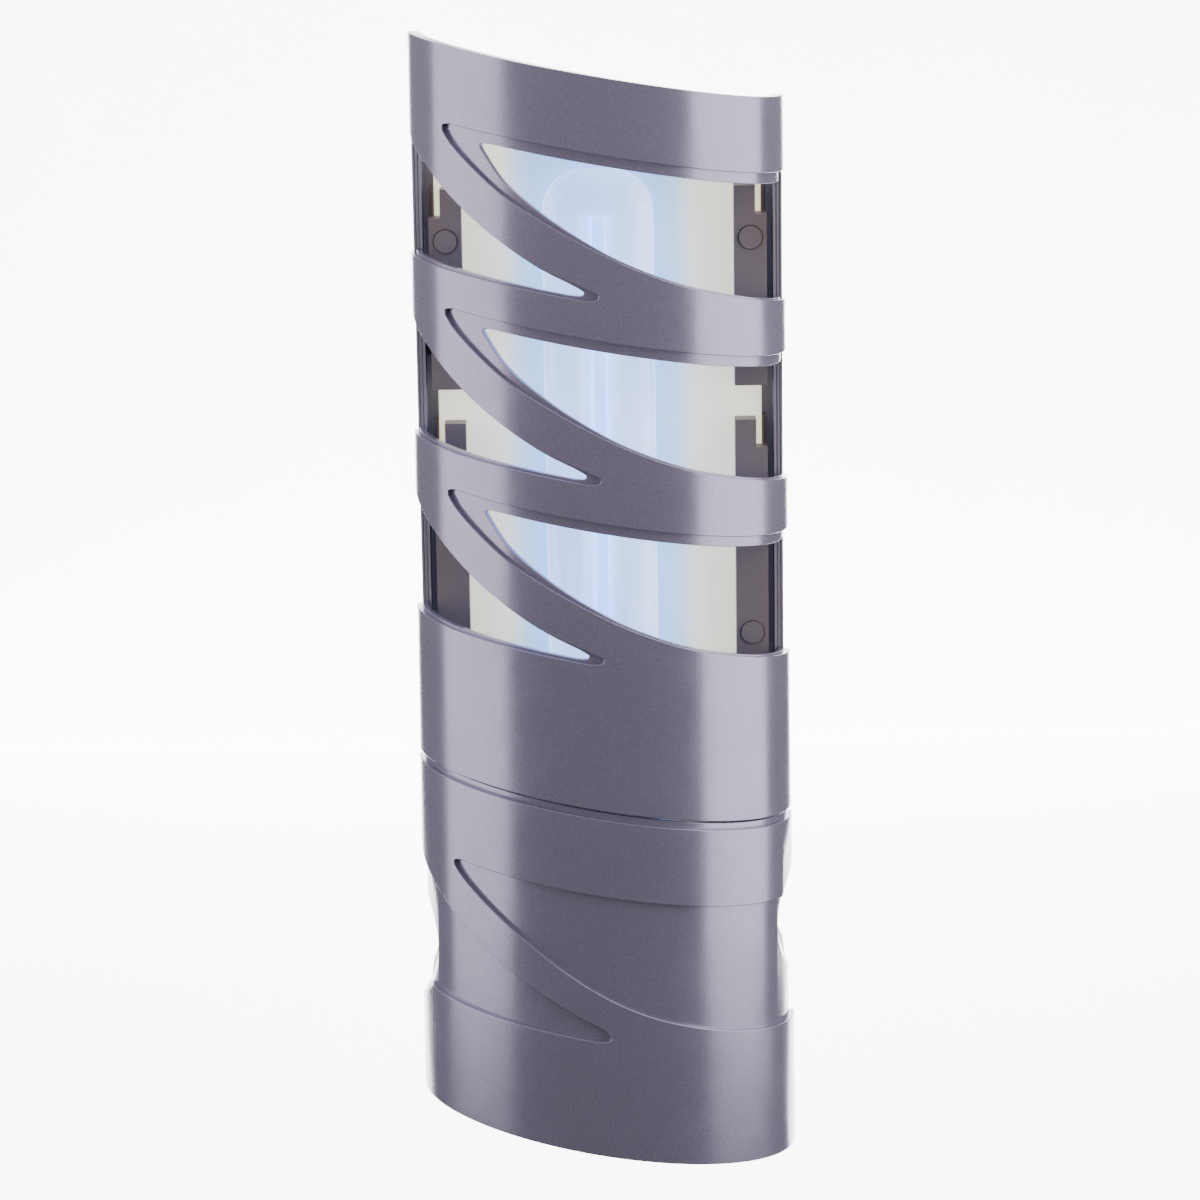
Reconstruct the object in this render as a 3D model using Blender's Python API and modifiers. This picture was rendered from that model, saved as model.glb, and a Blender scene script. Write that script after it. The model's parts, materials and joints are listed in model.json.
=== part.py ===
"""Wall-hung insect trap: a louvred, bowed front over a glowing twin-tube lamp and a catch board.

Metres, +Z up, the front faces -Y. The origin is the centre of the wall face, so the wall is
the plane y = 0 and everything stands in front of it.
"""
import math

import bmesh
import bpy
from mathutils import Vector

# Driving dimensions ---------------------------------------------------------------------------
HALF_WIDTH = 0.0656          # of the bowed front, at the height of the origin
BOW = 0.0498                 # how far the front's crest stands before its side edges
REAR_DEPTH = 0.022           # from the wall to the front's side edges
TOP = 0.190                  # height of the front's top edge on the centre line
FRONT_HEIGHT = 0.379
SLANT = 0.178                # every edge of the front falls this much per metre to the right
TAPER = 0.125                # the front narrows by this share per metre of height
RELIEF = 0.0018              # raised bands above the base layer
WALL = 0.0020                # base layer of the front
SEAM = 0.253                 # joint between the upper and the lower cover, below the top edge
SEAM_GAP = 0.0008
SEAM_LIP = 0.0024            # base layer left bare along the seam, which makes a groove
ROWS = 3
ROW_PITCH = 0.0627
GAP = 0.0003                 # between pieces that touch
STRIPS = 36                  # flat strips round the bow

SIDE_OUTER = 0.0637          # rear housing's side walls
SIDE_INNER = 0.0606
HOUSING_TOP = 0.166
HOUSING_BOTTOM = -0.172
SKIN = 0.0025                # rear housing's back, top and bottom walls
SCALLOP_RADIUS = 0.040       # finger grips at both sides
SCALLOP_DEPTH = 0.0062
SCALLOPS = ((-1, -0.122), (1, -0.116))          # side, height

TONGUE = (0.0589, 0.0602)    # between a board guide and the housing's side wall
TONGUE_WIDTH = 0.008
TONGUE_LENGTH = 0.0055
UPPER_TABS = ((-1, 0.116), (1, 0.098), (-1, -0.020), (1, -0.040))       # side, height
LOWER_TABS = ((-1, -0.081), (1, -0.0825), (-1, -0.159), (1, -0.159))
RAIL_GROOVES = (0.0615, 0.0626)
GROOVE_WIDTH = 0.0004
GROOVE_DEPTH = 0.0006

BOARD_WIDTH = 0.113
BOARD_THICK = 0.0012
BOARD_BOTTOM = -0.060
BOARD_TOP = 0.163
GUIDE_INNER = 0.0470
GUIDE_OUTER = 0.0583
GUIDE_SPANS = {"upper": (0.0774, 0.1473), "lower": (-0.064, 0.0653)}

TUBE_RADIUS = 0.0086
TUBE_SPACING = 0.0212
LAMP_TOP = 0.160
LAMP_BASE = (0.0400, 0.0200, 0.0250)
LAMP_BASE_BOTTOM = -0.065
SHELF_TOP = -0.0870
SHELF_THICK = 0.0025
PIN_PLACES = (-0.0165, -0.0055, 0.0055, 0.0165)
CLIP_SPAN = (-0.030, -0.024) # the collars that steady the tubes
CLIP_HALF = 0.0225
POST_HALF = 0.006

PCB_Y = -0.0110              # rear face of the ballast board
PCB_THICK = 0.0016
PCB = (-0.046, 0.046, -0.150, -0.095)           # left, right, bottom, top
POST_FRONT = PCB_Y + GAP
SCREW_SHANK = 0.0012
BOARD_POSTS = tuple((x, z) for x in (-0.041, 0.041) for z in (-0.146, -0.099))
SWITCH = (-0.038, -0.018, -0.0165, -0.0055)     # left, right, front, back
INLET = (0.014, 0.034, -0.0165, -0.0055)

FRONT_EDGE_Y = -REAR_DEPTH
BOARD_Y = FRONT_EDGE_Y + 0.0045
LAMP_Y = FRONT_EDGE_Y - 0.0130

# The outlines of one row of windows: (degrees round the bow, millimetres below the row's top).
# Each is open at a side edge, so it starts and ends past 90 degrees.
RIGHT_OPENING_LOW = ((-38.5, 31.6), (-30, 41.1), (-18, 48.9), (-5, 55.6), (8, 60.9), (25, 65.2),
                     (44, 67.4), (70, 69.2), (96, 70.6))
RIGHT_RECESS_LOW = ((-54, 28.6), (-50, 32.4), (-40, 39.0), (-29, 45.7), (-17, 51.4), (-5, 56.6),
                    (8, 61.4), (25, 65.7), (44, 67.9), (70, 69.7), (96, 71.1))
LEFT_OPENING_HIGH = ((-96, 30.4), (-80, 36.2), (-65, 42.6), (-50, 51.0), (-35, 59.5), (-20, 67.2),
                     (-8, 71.4), (-4.5, 73.0))
LEFT_RECESS_HIGH = ((-96, 29.9), (-80, 35.7), (-65, 42.1), (-50, 50.5), (-35, 59.0), (-20, 66.5),
                    (-7, 70.6), (0, 73.0))
RIGHT_OPENING_TOP = 29.6
RIGHT_RECESS_TOP = 25.8
LEFT_OPENING_BOTTOM = 75.0
LEFT_RECESS_BOTTOM = 75.7
# The lower cover's relief: the same shapes, measured from the front's top edge.
LOW_RIGHT_TOP = 283.5
LOW_RIGHT = ((-54, 286.4), (-50, 289.8), (-41, 295.6), (-29, 303.2), (-16, 311.8), (-3, 319.2),
             (11, 324.7), (27, 327.9), (46, 329.7), (70, 330.6), (96, 331.0))
LOW_LEFT_BOTTOM = 337.0
LOW_LEFT = ((-96, 284.0), (-80, 291.0), (-66, 297.6), (-52, 305.8), (-38, 314.0), (-24, 321.8),
            (-10, 328.6), (-2, 332.0), (0.5, 334.6))

COLOURS = {
    "shell": ((0.40, 0.37, 0.46), 0.30, 0.35), "rear": ((0.24, 0.22, 0.28), 0.45, 0.0),
    "guide": ((0.10, 0.095, 0.12), 0.5, 0.0), "board": ((0.78, 0.79, 0.70), 0.6, 0.0),
    "lamp_glass": ((0.62, 0.80, 0.98), 0.15, 0.0), "white_plastic": ((0.80, 0.80, 0.78), 0.4, 0.0),
    "black_plastic": ((0.03, 0.03, 0.03), 0.4, 0.0), "brass": ((0.75, 0.60, 0.30), 0.3, 1.0),
    "steel": ((0.60, 0.60, 0.60), 0.3, 1.0), "circuit": ((0.05, 0.25, 0.10), 0.5, 0.0),
    "copper": ((0.60, 0.28, 0.12), 0.35, 0.9), "ferrite": ((0.07, 0.07, 0.07), 0.6, 0.0),
    "rubber": ((0.04, 0.04, 0.04), 0.8, 0.0), "wire_blue": ((0.05, 0.15, 0.55), 0.45, 0.0),
    "wire_brown": ((0.22, 0.10, 0.04), 0.45, 0.0), "fuse_glass": ((0.80, 0.85, 0.85), 0.1, 0.0),
}


# Scene and materials --------------------------------------------------------------------------
def clear_scene():
    for item in list(bpy.data.objects):
        bpy.data.objects.remove(item, do_unlink=True)


def collection(name):
    made = bpy.data.collections.new(name)
    bpy.context.scene.collection.children.link(made)
    return made


def material(node, finish):
    colour, roughness, metallic = COLOURS[finish]
    made = bpy.data.materials.new(f"{node}_{finish}")
    made.use_nodes = True
    shader = made.node_tree.nodes["Principled BSDF"]
    shader.inputs["Base Color"].default_value = (*colour, 1.0)
    shader.inputs["Roughness"].default_value = roughness
    shader.inputs["Metallic"].default_value = metallic
    made.diffuse_color = (*colour, 1.0)
    return made


def part(obj, name, finish, mover=None, smooth=False):
    """Names a finished piece, gives it its material and hangs it on its moving empty."""
    obj.name = name
    obj.data.name = name
    obj.data.materials.clear()
    obj.data.materials.append(material(name, finish))
    if smooth:
        obj.data.shade_smooth()
        obj.data.set_sharp_from_angle(angle=math.radians(35))
    place(obj, PARTS)
    if mover is not None:
        obj.parent = mover
        obj.matrix_parent_inverse = mover.matrix_world.inverted()
    return obj


def place(obj, target):
    for old in list(obj.users_collection):
        old.objects.unlink(obj)
    target.objects.link(obj)


def mover(name, point):
    """An empty on a joint's axis."""
    empty = bpy.data.objects.new(name, None)
    empty.location = point
    empty.empty_display_size = 0.01
    PARTS.objects.link(empty)
    bpy.context.view_layer.update()
    return empty


# Shapes ---------------------------------------------------------------------------------------
def box(low, high):
    centre = [(a + b) / 2 for a, b in zip(low, high)]
    bpy.ops.mesh.primitive_cube_add(size=1, location=centre)
    made = bpy.context.object
    made.scale = [b - a for a, b in zip(low, high)]
    bpy.ops.object.transform_apply(location=True, rotation=True, scale=True)
    return made


def rod(centre, radius, length, axis="Z", sides=24):
    turn = {"X": (0, math.pi / 2, 0), "Y": (math.pi / 2, 0, 0), "Z": (0, 0, 0)}[axis]
    bpy.ops.mesh.primitive_cylinder_add(radius=radius, depth=length, vertices=sides,
                                        location=centre, rotation=turn)
    made = bpy.context.object
    bpy.ops.object.transform_apply(location=True, rotation=True, scale=True)
    return made


def boolean(obj, other, operation):
    """Cuts or joins at once and removes the other shape."""
    change = obj.modifiers.new("change", "BOOLEAN")
    change.operation = operation
    change.object = other
    graph = bpy.context.evaluated_depsgraph_get()
    mesh = bpy.data.meshes.new_from_object(obj.evaluated_get(graph))
    obj.modifiers.clear()
    obj.data = mesh
    bpy.data.objects.remove(other, do_unlink=True)
    return obj


def cut(obj, *others):
    for other in others:
        boolean(obj, other, "DIFFERENCE")
    return obj


def join(obj, *others):
    for other in others:
        boolean(obj, other, "UNION")
    return obj


def mesh_from_curve(curve_object):
    """A closed mesh of a curve, with its caps welded on."""
    bpy.context.scene.collection.objects.link(curve_object)
    bpy.context.view_layer.update()
    graph = bpy.context.evaluated_depsgraph_get()
    mesh = bpy.data.meshes.new_from_object(curve_object.evaluated_get(graph))
    made = bpy.data.objects.new("solid", mesh)
    made.matrix_world = curve_object.matrix_world
    bpy.context.scene.collection.objects.link(made)
    bpy.data.objects.remove(curve_object, do_unlink=True)
    shape = bmesh.new()
    shape.from_mesh(mesh)
    bmesh.ops.remove_doubles(shape, verts=shape.verts, dist=0.000005)
    bmesh.ops.recalc_face_normals(shape, faces=shape.faces)
    shape.to_mesh(mesh)
    shape.free()
    return made


def plate(outline, low, high):
    """A flat outline in the XY plane, filled and extruded from low to high along Z."""
    curve = bpy.data.curves.new("outline", "CURVE")
    curve.dimensions = "2D"
    curve.fill_mode = "BOTH"
    curve.extrude = (high - low) / 2
    spline = curve.splines.new("POLY")
    spline.points.add(len(outline) - 1)
    for point, (x, y) in zip(spline.points, outline):
        point.co = (x, y, 0, 1)
    spline.use_cyclic_u = True
    made = bpy.data.objects.new("outline", curve)
    made.location.z = (low + high) / 2
    solid = mesh_from_curve(made)
    bake_place(solid)
    return solid


def bake_place(obj):
    obj.data.transform(obj.matrix_basis)
    obj.matrix_basis.identity()


def smooth_line(points, steps=4):
    """A Catmull-Rom curve through the points."""
    ends = [points[0], *points, points[-1]]
    line = []
    for a, b, c, d in zip(ends, ends[1:], ends[2:], ends[3:]):
        for step in range(steps):
            t = step / steps
            line.append(tuple(
                0.5 * (2 * q + (r - p) * t + (2 * p - 5 * q + 4 * r - s) * t ** 2
                       + (3 * q - p - 3 * r + s) * t ** 3)
                for p, q, r, s in zip(a, b, c, d)))
    line.append(points[-1])
    return line


# The bowed front ------------------------------------------------------------------------------
def right_shape(low_edge, top, drop=0.0):
    """A swoosh that is open at the right: a level top edge and a curved low edge."""
    edge = smooth_line(low_edge)
    tip_angle, tip_height = low_edge[0]
    nose = smooth_line(((tip_angle, tip_height), (tip_angle + 0.4, (tip_height + top) / 2 - 0.4),
                        (tip_angle + 4, top)), 3)[1:]
    return flat([*reversed(edge), *nose, (96, top)], drop)


def left_shape(high_edge, bottom, drop=0.0):
    """A swoosh that is open at the left: a curved high edge and a level bottom edge."""
    edge = smooth_line(high_edge)
    tip_angle, tip_height = high_edge[-1]
    nose = smooth_line(((tip_angle, tip_height), (tip_angle - 0.6, (tip_height + bottom) / 2 + 0.4),
                        (tip_angle - 4, bottom)), 3)[1:]
    return flat([*edge, *nose, (-96, bottom)], drop)


def flat(points, drop):
    """Degrees and millimetres down become metres round the bow and metres up."""
    return [(HALF_WIDTH * math.radians(angle), -(down / 1000 + drop)) for angle, down in points]


def rectangle(top, bottom):
    side = HALF_WIDTH * math.pi / 2
    return [(-side, -top), (side, -top), (side, -bottom), (-side, -bottom)]


def layered(top, bottom, recesses, openings, lip=0.0):
    """The base layer with its openings under the raised layer, which starts a lip lower."""
    base = plate(rectangle(top, bottom), -RELIEF - WALL, -RELIEF)
    for outline in openings:
        cut(base, plate(outline, -2 * (RELIEF + WALL), RELIEF))
    raised = plate(rectangle(top + lip, bottom), -RELIEF - WALL / 2, 0)
    for outline in recesses:
        cut(raised, plate(outline, -2 * (RELIEF + WALL), RELIEF))
    return join(base, raised)


def bend(obj):
    """Wraps the flat sheet round the bow, slants it and tapers it."""
    shape = bmesh.new()
    shape.from_mesh(obj.data)
    for strip in range(1, STRIPS):
        angle = math.pi * (strip / STRIPS - 0.5)
        geometry = shape.verts[:] + shape.edges[:] + shape.faces[:]
        bmesh.ops.bisect_plane(shape, geom=geometry, dist=0.00001,
                               plane_co=(HALF_WIDTH * angle, 0, 0), plane_no=(1, 0, 0))
    bmesh.ops.remove_doubles(shape, verts=shape.verts, dist=0.00004)
    bmesh.ops.dissolve_degenerate(shape, edges=shape.edges, dist=0.00004)
    bmesh.ops.triangulate(shape, faces=shape.faces)
    for vertex in shape.verts:
        vertex.co = on_bow(*vertex.co)
    shape.to_mesh(obj.data)
    shape.free()
    return obj


def on_bow(along, height, lift):
    """The place of a point of the flat sheet: along the bow, height below the top, lift."""
    angle = max(-math.pi / 2, min(math.pi / 2, along / HALF_WIDTH))
    z = TOP + height - SLANT * HALF_WIDTH * math.sin(angle)
    scale = 1 - TAPER * z
    normal = Vector((BOW * math.sin(angle), -HALF_WIDTH * math.cos(angle), 0)).normalized()
    point = Vector((HALF_WIDTH * scale * math.sin(angle),
                    FRONT_EDGE_Y - BOW * scale * math.cos(angle), z))
    return point + normal * lift


def scallop_cutters():
    for side, height in SCALLOPS:
        reach = HALF_WIDTH * (1 - TAPER * height) - SCALLOP_DEPTH + SCALLOP_RADIUS
        yield rod((side * reach, -0.03, height), SCALLOP_RADIUS, 0.12, "Y", 64)


def half_ellipse(margin, z, steps=24):
    """The bow's outline at one height, drawn in by a margin, closed along the side edges."""
    wide = HALF_WIDTH * (1 - TAPER * z) - margin
    deep = BOW * (1 - TAPER * z) - margin
    angles = [math.pi * (step / steps - 0.5) for step in range(steps + 1)]
    return [(wide * math.sin(a), FRONT_EDGE_Y - GAP - deep * math.cos(a)) for a in angles]


def scallop_liner(side, height):
    """The curved wall that closes the front behind a scallop."""
    reach = HALF_WIDTH * (1 - TAPER * height) - SCALLOP_DEPTH + SCALLOP_RADIUS
    liner = plate(half_ellipse(RELIEF + WALL / 2, height), height - 0.032, height + 0.032)
    outside = rod((side * reach, -0.03, height), SCALLOP_RADIUS + WALL, 0.12, "Y", 64)
    return boolean(liner, outside, "INTERSECT")


def snap_tabs(cover, places):
    """Tongues on a cover's inner side that spring in behind the housing's side walls."""
    for side, height in places:
        inner = HALF_WIDTH * (1 - TAPER * height) - RELIEF - WALL
        root = FRONT_EDGE_Y - 0.0055
        for reach, back in ((inner + 0.0009, FRONT_EDGE_Y - 0.0008),
                            (TONGUE[1], FRONT_EDGE_Y + TONGUE_LENGTH)):
            near, far = sorted((side * TONGUE[0], side * reach))
            join(cover, box((near, root, height - TONGUE_WIDTH / 2),
                            (far, back, height + TONGUE_WIDTH / 2)))


def upper_cover(carrier):
    recesses = []
    openings = []
    for row in range(ROWS):
        drop = row * ROW_PITCH
        recesses.append(right_shape(RIGHT_RECESS_LOW, RIGHT_RECESS_TOP, drop))
        recesses.append(left_shape(LEFT_RECESS_HIGH, LEFT_RECESS_BOTTOM, drop))
        openings.append(right_shape(RIGHT_OPENING_LOW, RIGHT_OPENING_TOP, drop))
        openings.append(left_shape(LEFT_OPENING_HIGH, LEFT_OPENING_BOTTOM, drop))
    cover = bend(layered(0, SEAM - SEAM_GAP / 2, recesses, openings))
    snap_tabs(cover, UPPER_TABS)
    clean(cover)
    return part(cover, "upper_cover", "shell", carrier)


def lower_cover():
    recesses = [right_shape(LOW_RIGHT, LOW_RIGHT_TOP), left_shape(LOW_LEFT, LOW_LEFT_BOTTOM)]
    cover = bend(layered(SEAM + SEAM_GAP / 2, FRONT_HEIGHT, recesses, [], SEAM_LIP))
    for side, height in SCALLOPS:
        join(cover, scallop_liner(side, height))
    cut(cover, *scallop_cutters())
    snap_tabs(cover, LOWER_TABS)
    clean(cover)
    part(cover, "lower_cover", "shell")
    floor_margin = RELIEF + WALL + 2 * GAP
    floor = plate(half_ellipse(floor_margin, HOUSING_BOTTOM), HOUSING_BOTTOM, HOUSING_BOTTOM + WALL)
    return part(floor, "lower_cover_floor", "shell")


# Rear housing ---------------------------------------------------------------------------------
def keyhole(x, z):
    """A hanging slot: a round entry with a narrow slot above it."""
    entry = rod((x, 0, z), 0.0042, 0.024, "Y")
    slot = rod((x, 0, z + 0.008), 0.0022, 0.022, "Y")
    neck = box((x - 0.0020, -0.01, z), (x + 0.0020, 0.01, z + 0.008))
    return entry, slot, neck


def rear_housing():
    """An open tray: back, side, top and bottom walls, and thick grips behind the scallops."""
    front = FRONT_EDGE_Y + GAP
    shell = box((-SIDE_OUTER, front, HOUSING_BOTTOM), (SIDE_OUTER, 0, HOUSING_TOP))
    inside = box((-SIDE_INNER, front - 0.01, HOUSING_BOTTOM + SKIN),
                 (SIDE_INNER, -SKIN, HOUSING_TOP - SKIN))
    board_slot = box((-SIDE_INNER, front - 0.01, HOUSING_TOP - 2 * SKIN),
                     (SIDE_INNER, BOARD_Y + 0.004, HOUSING_TOP + 0.01))
    cut(shell, inside, board_slot)
    for side, height in SCALLOPS:
        near, far = sorted((side * (SIDE_INNER - 0.006), side * (SIDE_INNER + 0.001)))
        join(shell, box((near, front, height - 0.0245), (far, -SKIN / 2, height + 0.0245)))
    cut(shell, *scallop_cutters())
    for side in (-1, 1):
        cut(shell, *keyhole(side * 0.036, 0.120))
        for place_x in RAIL_GROOVES:
            near, far = sorted((side * place_x, side * (place_x + GROOVE_WIDTH)))
            cut(shell, box((near, front - 0.01, HOUSING_BOTTOM - 0.01),
                           (far, front + GROOVE_DEPTH, HOUSING_TOP + 0.01)))
    cut(shell, box(*switch_window(0.0003)), box(*inlet_window(0.0003)))
    for x, z in BOARD_POSTS:
        join(shell, rod((x, (POST_FRONT - SKIN / 2) / 2, z), 0.0035, -POST_FRONT - SKIN / 2, "Y"))
        cut(shell, rod((x, POST_FRONT, z), SCREW_SHANK + GAP, 0.012, "Y", 16))
    clean(shell)
    return part(shell, "rear_housing", "rear")


# Catch board and its guides -------------------------------------------------------------------
def catch_board(carrier):
    board = box((-BOARD_WIDTH / 2, BOARD_Y, BOARD_BOTTOM),
                (BOARD_WIDTH / 2, BOARD_Y + BOARD_THICK, BOARD_TOP))
    return part(board, "catch_board", "board", carrier)


def board_guides():
    """Dark channels that hold the board's edges, each pinned by a flush rivet."""
    for level, (bottom, top) in GUIDE_SPANS.items():
        for side, name in ((-1, "left"), (1, "right")):
            near, far = sorted((side * GUIDE_INNER, side * GUIDE_OUTER))
            guide = box((near, FRONT_EDGE_Y - 0.0035, bottom), (far, BOARD_Y + 0.0060, top))
            lip, edge = sorted((side * (GUIDE_INNER - 0.01), side * (BOARD_WIDTH / 2 + 0.0006)))
            cut(guide, box((lip, BOARD_Y - 0.0006, bottom - 0.01),
                           (edge, BOARD_Y + BOARD_THICK + 0.0006, top + 0.01)))
            tab_near, tab_far = sorted((side * (GUIDE_OUTER - 0.004), side * (GUIDE_OUTER + 0.01)))
            cut(guide, box((tab_near, FRONT_EDGE_Y - 0.01, top - 0.010),
                           (tab_far, BOARD_Y, top + 0.01)))
            middle = side * (GUIDE_INNER + GUIDE_OUTER) / 2
            height = (top - 0.018) if level == "upper" else (bottom + 0.053)
            face = FRONT_EDGE_Y - 0.0035
            cut(guide, rod((middle, face, height), 0.0040 + GAP, 0.0024, "Y", 32))
            part(guide, f"guide_{level}_{name}", "guide")
            rivet = rod((middle, face + 0.0001, height), 0.0040, 0.0014, "Y", 32)
            part(rivet, f"guide_rivet_{level}_{name}", "guide", smooth=True)
            foot_near, foot_far = sorted((side * (GUIDE_INNER + 0.001), side * (SIDE_INNER - GAP)))
            foot = box((foot_near, BOARD_Y + 0.0060 + GAP, bottom + 0.010),
                       (foot_far, -SKIN - GAP, bottom + 0.022))
            part(foot, f"guide_foot_{level}_{name}", "guide")


# Lamp -----------------------------------------------------------------------------------------
def lamp(carrier):
    """A twin-tube lamp, closed at its top by a bridge, on a moulded base with four pins."""
    base_top = LAMP_BASE_BOTTOM + LAMP_BASE[2]
    tubes = None
    for side in (-1, 1):
        height = LAMP_TOP - TUBE_RADIUS * 0.55 - base_top - GAP
        tube = rod((side * TUBE_SPACING / 2, LAMP_Y, base_top + GAP + height / 2),
                   TUBE_RADIUS, height, "Z", 32)
        round_top(tube, 0.006)
        tubes = tube if tubes is None else join(tubes, tube)
    bridge = rod((0, LAMP_Y, LAMP_TOP - 0.020), TUBE_RADIUS * 0.6, TUBE_SPACING * 0.9, "X", 16)
    join(tubes, bridge)
    part(tubes, "lamp_tubes", "lamp_glass", carrier, smooth=True)

    wide, deep, _ = LAMP_BASE
    base = box((-wide / 2, LAMP_Y - deep / 2, LAMP_BASE_BOTTOM),
               (wide / 2, LAMP_Y + deep / 2, base_top))
    soften(base, 0.002)
    part(base, "lamp_base", "white_plastic", carrier)
    for number, x in enumerate(PIN_PLACES, 1):
        pin = rod((x, LAMP_Y, LAMP_BASE_BOTTOM - GAP - 0.0032), 0.0011, 0.0064, "Z", 12)
        part(pin, f"lamp_pin_{number}", "brass", carrier)


def round_top(obj, width):
    shape = bmesh.new()
    shape.from_mesh(obj.data)
    highest = max(vertex.co.z for vertex in shape.verts)
    rim = [edge for edge in shape.edges if all(v.co.z > highest - 1e-6 for v in edge.verts)]
    bmesh.ops.bevel(shape, geom=rim, offset=width, segments=4, profile=0.5, affect="EDGES")
    shape.to_mesh(obj.data)
    shape.free()


def soften(obj, width, segments=2):
    bevel = obj.modifiers.new("soft edges", "BEVEL")
    bevel.width = width
    bevel.segments = segments
    bevel.limit_method = "ANGLE"


def lamp_holder():
    """Socket, the shelf it stands on and the spring clip that steadies the tubes."""
    deep = LAMP_BASE[1]
    socket = box((-0.0215, LAMP_Y - deep / 2 - 0.001, SHELF_TOP + GAP),
                 (0.0215, LAMP_Y + deep / 2 + 0.001, LAMP_BASE_BOTTOM - GAP))
    for x in PIN_PLACES:
        cut(socket, rod((x, LAMP_Y, LAMP_BASE_BOTTOM), 0.0016, 0.016, "Z", 16))
    part(socket, "lamp_socket", "white_plastic")
    half, nose, front, back = 0.0575, 0.038, LAMP_Y - 0.014, -SKIN - GAP
    shoulder = FRONT_EDGE_Y - 0.004
    shelf = plate(((-half, back), (-half, shoulder), (-nose, front), (nose, front), (half, shoulder),
                   (half, back)), SHELF_TOP - SHELF_THICK, SHELF_TOP)
    for side in (-1, 1):
        near, far = sorted((side * 0.030, side * 0.045))
        cut(shelf, box((near, -0.0055, SHELF_TOP - 0.01), (far, 0.001, SHELF_TOP + 0.01)))
    part(shelf, "lamp_shelf", "rear")
    part(spring_clip(LAMP_Y + deep / 2 + 0.0013), "lamp_clip", "white_plastic")


def spring_clip(post_front):
    """Two open collars behind the tubes, on a post that stands on the shelf."""
    bottom, top = CLIP_SPAN
    middle, reach = (bottom + top) / 2, TUBE_SPACING / 2
    clip = box((-CLIP_HALF, LAMP_Y - 0.003, bottom), (CLIP_HALF, LAMP_Y + 0.0125, top))
    for side in (-1, 1):
        cut(clip, rod((side * reach, LAMP_Y, middle), TUBE_RADIUS + GAP, 0.02, "Z", 32))
    cut(clip, box((-reach, LAMP_Y - 0.02, bottom - 0.01), (reach, LAMP_Y + 0.002, top + 0.01)))
    post = box((-POST_HALF, post_front, SHELF_TOP + GAP), (POST_HALF, BOARD_Y - 0.0015, top))
    return join(clip, post)


# Electrics in the lower compartment -----------------------------------------------------------
def circuit_board():
    left, right, bottom, top = PCB
    board = box((left, PCB_Y - PCB_THICK, bottom), (right, PCB_Y, top))
    for x, z in BOARD_POSTS:
        cut(board, rod((x, PCB_Y, z), SCREW_SHANK + GAP, 0.01, "Y", 16))
    part(board, "ballast_board", "circuit")
    face = PCB_Y - PCB_THICK - GAP
    for number, (x, z) in enumerate(BOARD_POSTS, 1):
        head = rod((x, face - 0.0009, z), 0.0026, 0.0018, "Y", 24)
        shank = rod((x, face + 0.0027, z), SCREW_SHANK, 0.0060, "Y", 16)
        part(join(head, shank), f"board_screw_{number}", "steel")
    return face


def choke(face):
    """A ferrite core round a copper winding."""
    x, z = -0.020, -0.122
    core = box((x - 0.011, face - 0.016, z - 0.010), (x + 0.011, face, z + 0.010))
    cut(core, box((x - 0.0065, face - 0.02, z - 0.0058), (x + 0.0065, face + 0.01, z + 0.0058)))
    part(core, "choke_core", "ferrite")
    coil = rod((x, face - 0.008, z), 0.0052, 0.014, "Y", 32)
    part(coil, "choke_winding", "copper", smooth=True)


def components(face):
    filter_capacitor = rod((0.010, face - 0.009, -0.116), 0.0060, 0.018, "Y", 32)
    soften(filter_capacitor, 0.0008)
    part(filter_capacitor, "filter_capacitor", "black_plastic", smooth=True)
    part(box((-0.004, face - 0.009, -0.146), (0.008, face, -0.140)), "lamp_capacitor", "copper")
    for side, name in ((0, "left"), (1, "right")):
        x = 0.014 + side * 0.013
        body = box((x, face - 0.015, -0.138), (x + 0.010, face, -0.1335))
        part(body, f"transistor_{name}", "black_plastic")
    fuse = rod((0.032, face - 0.0030, -0.115), 0.0026, 0.018, "Z", 24)
    part(fuse, "fuse", "fuse_glass", smooth=True)
    for side, name in ((-1, "lower"), (1, "upper")):
        z = -0.115 + side * 0.0115
        cap = rod((0.032, face - 0.0030, z), 0.0029, 0.0044, "Z", 24)
        part(cap, f"fuse_cap_{name}", "steel", smooth=True)


def window(bounds, margin):
    left, right, front, back = bounds
    return ((left - margin, front - margin, HOUSING_BOTTOM - 0.01),
            (right + margin, back + margin, HOUSING_BOTTOM + 2 * SKIN))


def switch_window(margin):
    return window(SWITCH, margin)


def inlet_window(margin):
    return window(INLET, margin)


def main_switch(carrier):
    """A rocker in a frame, in the housing's underside."""
    left, right, front, back = SWITCH
    frame = box((left, front, HOUSING_BOTTOM - 0.0010), (right, back, HOUSING_BOTTOM + 0.013))
    cut(frame, box((left + 0.0016, front + 0.0016, HOUSING_BOTTOM - 0.01),
                   (right - 0.0016, back - 0.0016, HOUSING_BOTTOM + 0.0062)))
    part(frame, "switch_frame", "black_plastic")
    inset = 0.0021
    middle = (left + right) / 2
    outline = ((left + inset, -0.0022), (middle, -0.0008), (right - inset, -0.0030),
               (right - inset - 0.0004, 0.0022), (left + inset + 0.0004, 0.0022))
    rocker = plate(outline, -(back - front) / 2 + inset, (back - front) / 2 - inset)
    for vertex in rocker.data.vertices:
        x, up, across = vertex.co
        vertex.co = (x, across + (front + back) / 2, HOUSING_BOTTOM + 0.0016 + up)
    turned_out(rocker)
    part(rocker, "switch_rocker", "black_plastic", carrier)


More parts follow.
